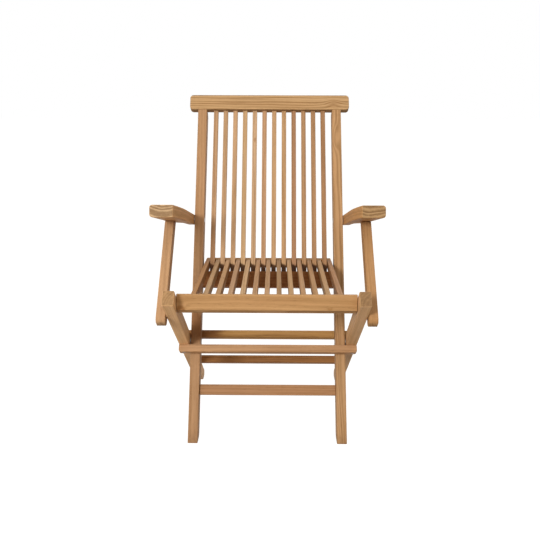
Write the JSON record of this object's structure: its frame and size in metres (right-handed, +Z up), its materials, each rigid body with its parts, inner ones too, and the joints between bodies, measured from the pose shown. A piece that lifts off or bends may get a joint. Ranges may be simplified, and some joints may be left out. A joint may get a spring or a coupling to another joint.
{
  "type": "folding garden armchair",
  "caption": "Folding slatted teak garden armchair with armrests, shown open; the legs, slatted seat and hinged arm supports fold flat against the back.",
  "frame": {"origin": "on the floor under the middle of the open chair's bounding box", "axes": "+Z up, -Y to the front, +X to the right as seen from the front"},
  "size_m": [0.5626, 0.6074, 0.8918],
  "materials": {
    "teak_golden": "sanded and lightly oiled teak, golden brown, fine lengthwise grain",
    "teak_warm": "sanded teak, warm to pinkish brown, straight grain with darker bands",
    "teak_weathered": "sanded teak, a little greyer, open grain, darker sides",
    "bolt_steel": "stainless steel, dull brushed",
    "hinge_brass": "solid brass, dulled by weather"
  },
  "bodies": {
    "back_frame": {"stile_left": "teak_warm", "stile_right": "teak_warm", "top_rail": "teak_warm", "lower_back_rail": "teak_golden", "front_stretcher": "teak_golden", "back_slat_01": "teak_warm", "back_slat_02": "teak_warm", "back_slat_03": "teak_warm", "back_slat_04": "teak_warm", "back_slat_05": "teak_warm", "back_slat_06": "teak_warm", "back_slat_07": "teak_warm", "back_slat_08": "teak_warm", "back_slat_09": "teak_warm", "back_slat_10": "teak_warm", "back_slat_11": "teak_warm", "back_slat_12": "teak_warm", "main_pivot_washers": "bolt_steel", "arm_pivot_bolts": "bolt_steel", "arm_pivot_nuts": "bolt_steel", "arm_pivot_washers": "bolt_steel"},
    "rear_legs": {"rear_leg_left": "teak_golden", "rear_leg_right": "teak_golden", "stop_bar_front": "teak_golden", "stop_bar_rear": "teak_golden", "rear_stretcher": "teak_golden", "stop_bar_screws": "bolt_steel", "main_pivot_bolts": "bolt_steel", "main_pivot_nuts": "bolt_steel", "support_pivot_inserts": "hinge_brass"},
    "seat": {"seat_front_rail": "teak_golden", "seat_rear_rail": "teak_weathered", "seat_slat_01": "teak_weathered", "seat_slat_02": "teak_weathered", "seat_slat_03": "teak_weathered", "seat_slat_04": "teak_weathered", "seat_slat_05": "teak_weathered", "seat_slat_06": "teak_weathered", "seat_slat_07": "teak_weathered", "seat_slat_08": "teak_weathered", "seat_slat_09": "teak_weathered", "seat_slat_10": "teak_weathered", "seat_slat_11": "teak_weathered", "seat_slat_12": "teak_weathered", "seat_slat_13": "teak_weathered", "seat_pivot_bolts": "bolt_steel"},
    "armrest_left": {"arm_left": "teak_golden", "arm_hinge_leaf_left": "hinge_brass", "arm_hinge_screws_left": "hinge_brass"},
    "arm_support_left": {"support_left": "teak_golden", "support_hinge_leaf_left": "hinge_brass", "support_hinge_screws_left": "hinge_brass", "support_bolt_left": "bolt_steel"},
    "armrest_right": {"arm_right": "teak_golden", "arm_hinge_leaf_right": "hinge_brass", "arm_hinge_screws_right": "hinge_brass"},
    "arm_support_right": {"support_right": "teak_golden", "support_hinge_leaf_right": "hinge_brass", "support_hinge_screws_right": "hinge_brass", "support_bolt_right": "bolt_steel"}
  },
  "joints": [
    {"name": "fold", "type": "hinge", "parent": "back_frame", "child": "rear_legs", "pos_m": [0, -0.02965, 0.23344], "axis": [-1, 0, 0], "range_deg": [0, 70.8]},
    {"name": "seat_turn", "type": "hinge", "parent": "rear_legs", "child": "seat", "pos_m": [0, -0.25029, 0.40583], "axis": [1, 0, 0], "range_deg": [0, 113.99]},
    {"name": "arm_turn_left", "type": "hinge", "parent": "back_frame", "child": "armrest_left", "pos_m": [0, 0.12879, 0.54441], "axis": [-1, 0, 0], "range_deg": [0, 102.95]},
    {"name": "support_turn_left", "type": "hinge", "parent": "armrest_left", "child": "arm_support_left", "pos_m": [0, -0.03311, 0.5688], "axis": [1, 0, 0], "range_deg": [0, 118.47]},
    {"name": "arm_turn_right", "type": "hinge", "parent": "back_frame", "child": "armrest_right", "pos_m": [0, 0.12879, 0.54441], "axis": [-1, 0, 0], "range_deg": [0, 102.95]},
    {"name": "support_turn_right", "type": "hinge", "parent": "armrest_right", "child": "arm_support_right", "pos_m": [0, -0.03311, 0.5688], "axis": [1, 0, 0], "range_deg": [0, 118.47]}
  ],
  "couplings": [
    {"joint": "seat_turn", "follows": "fold", "ratio": 1.61},
    {"joint": "arm_turn_left", "follows": "fold", "ratio": 1.454},
    {"joint": "support_turn_left", "follows": "fold", "ratio": 1.6733},
    {"joint": "arm_turn_right", "follows": "fold", "ratio": 1.454},
    {"joint": "support_turn_right", "follows": "fold", "ratio": 1.6733}
  ]
}
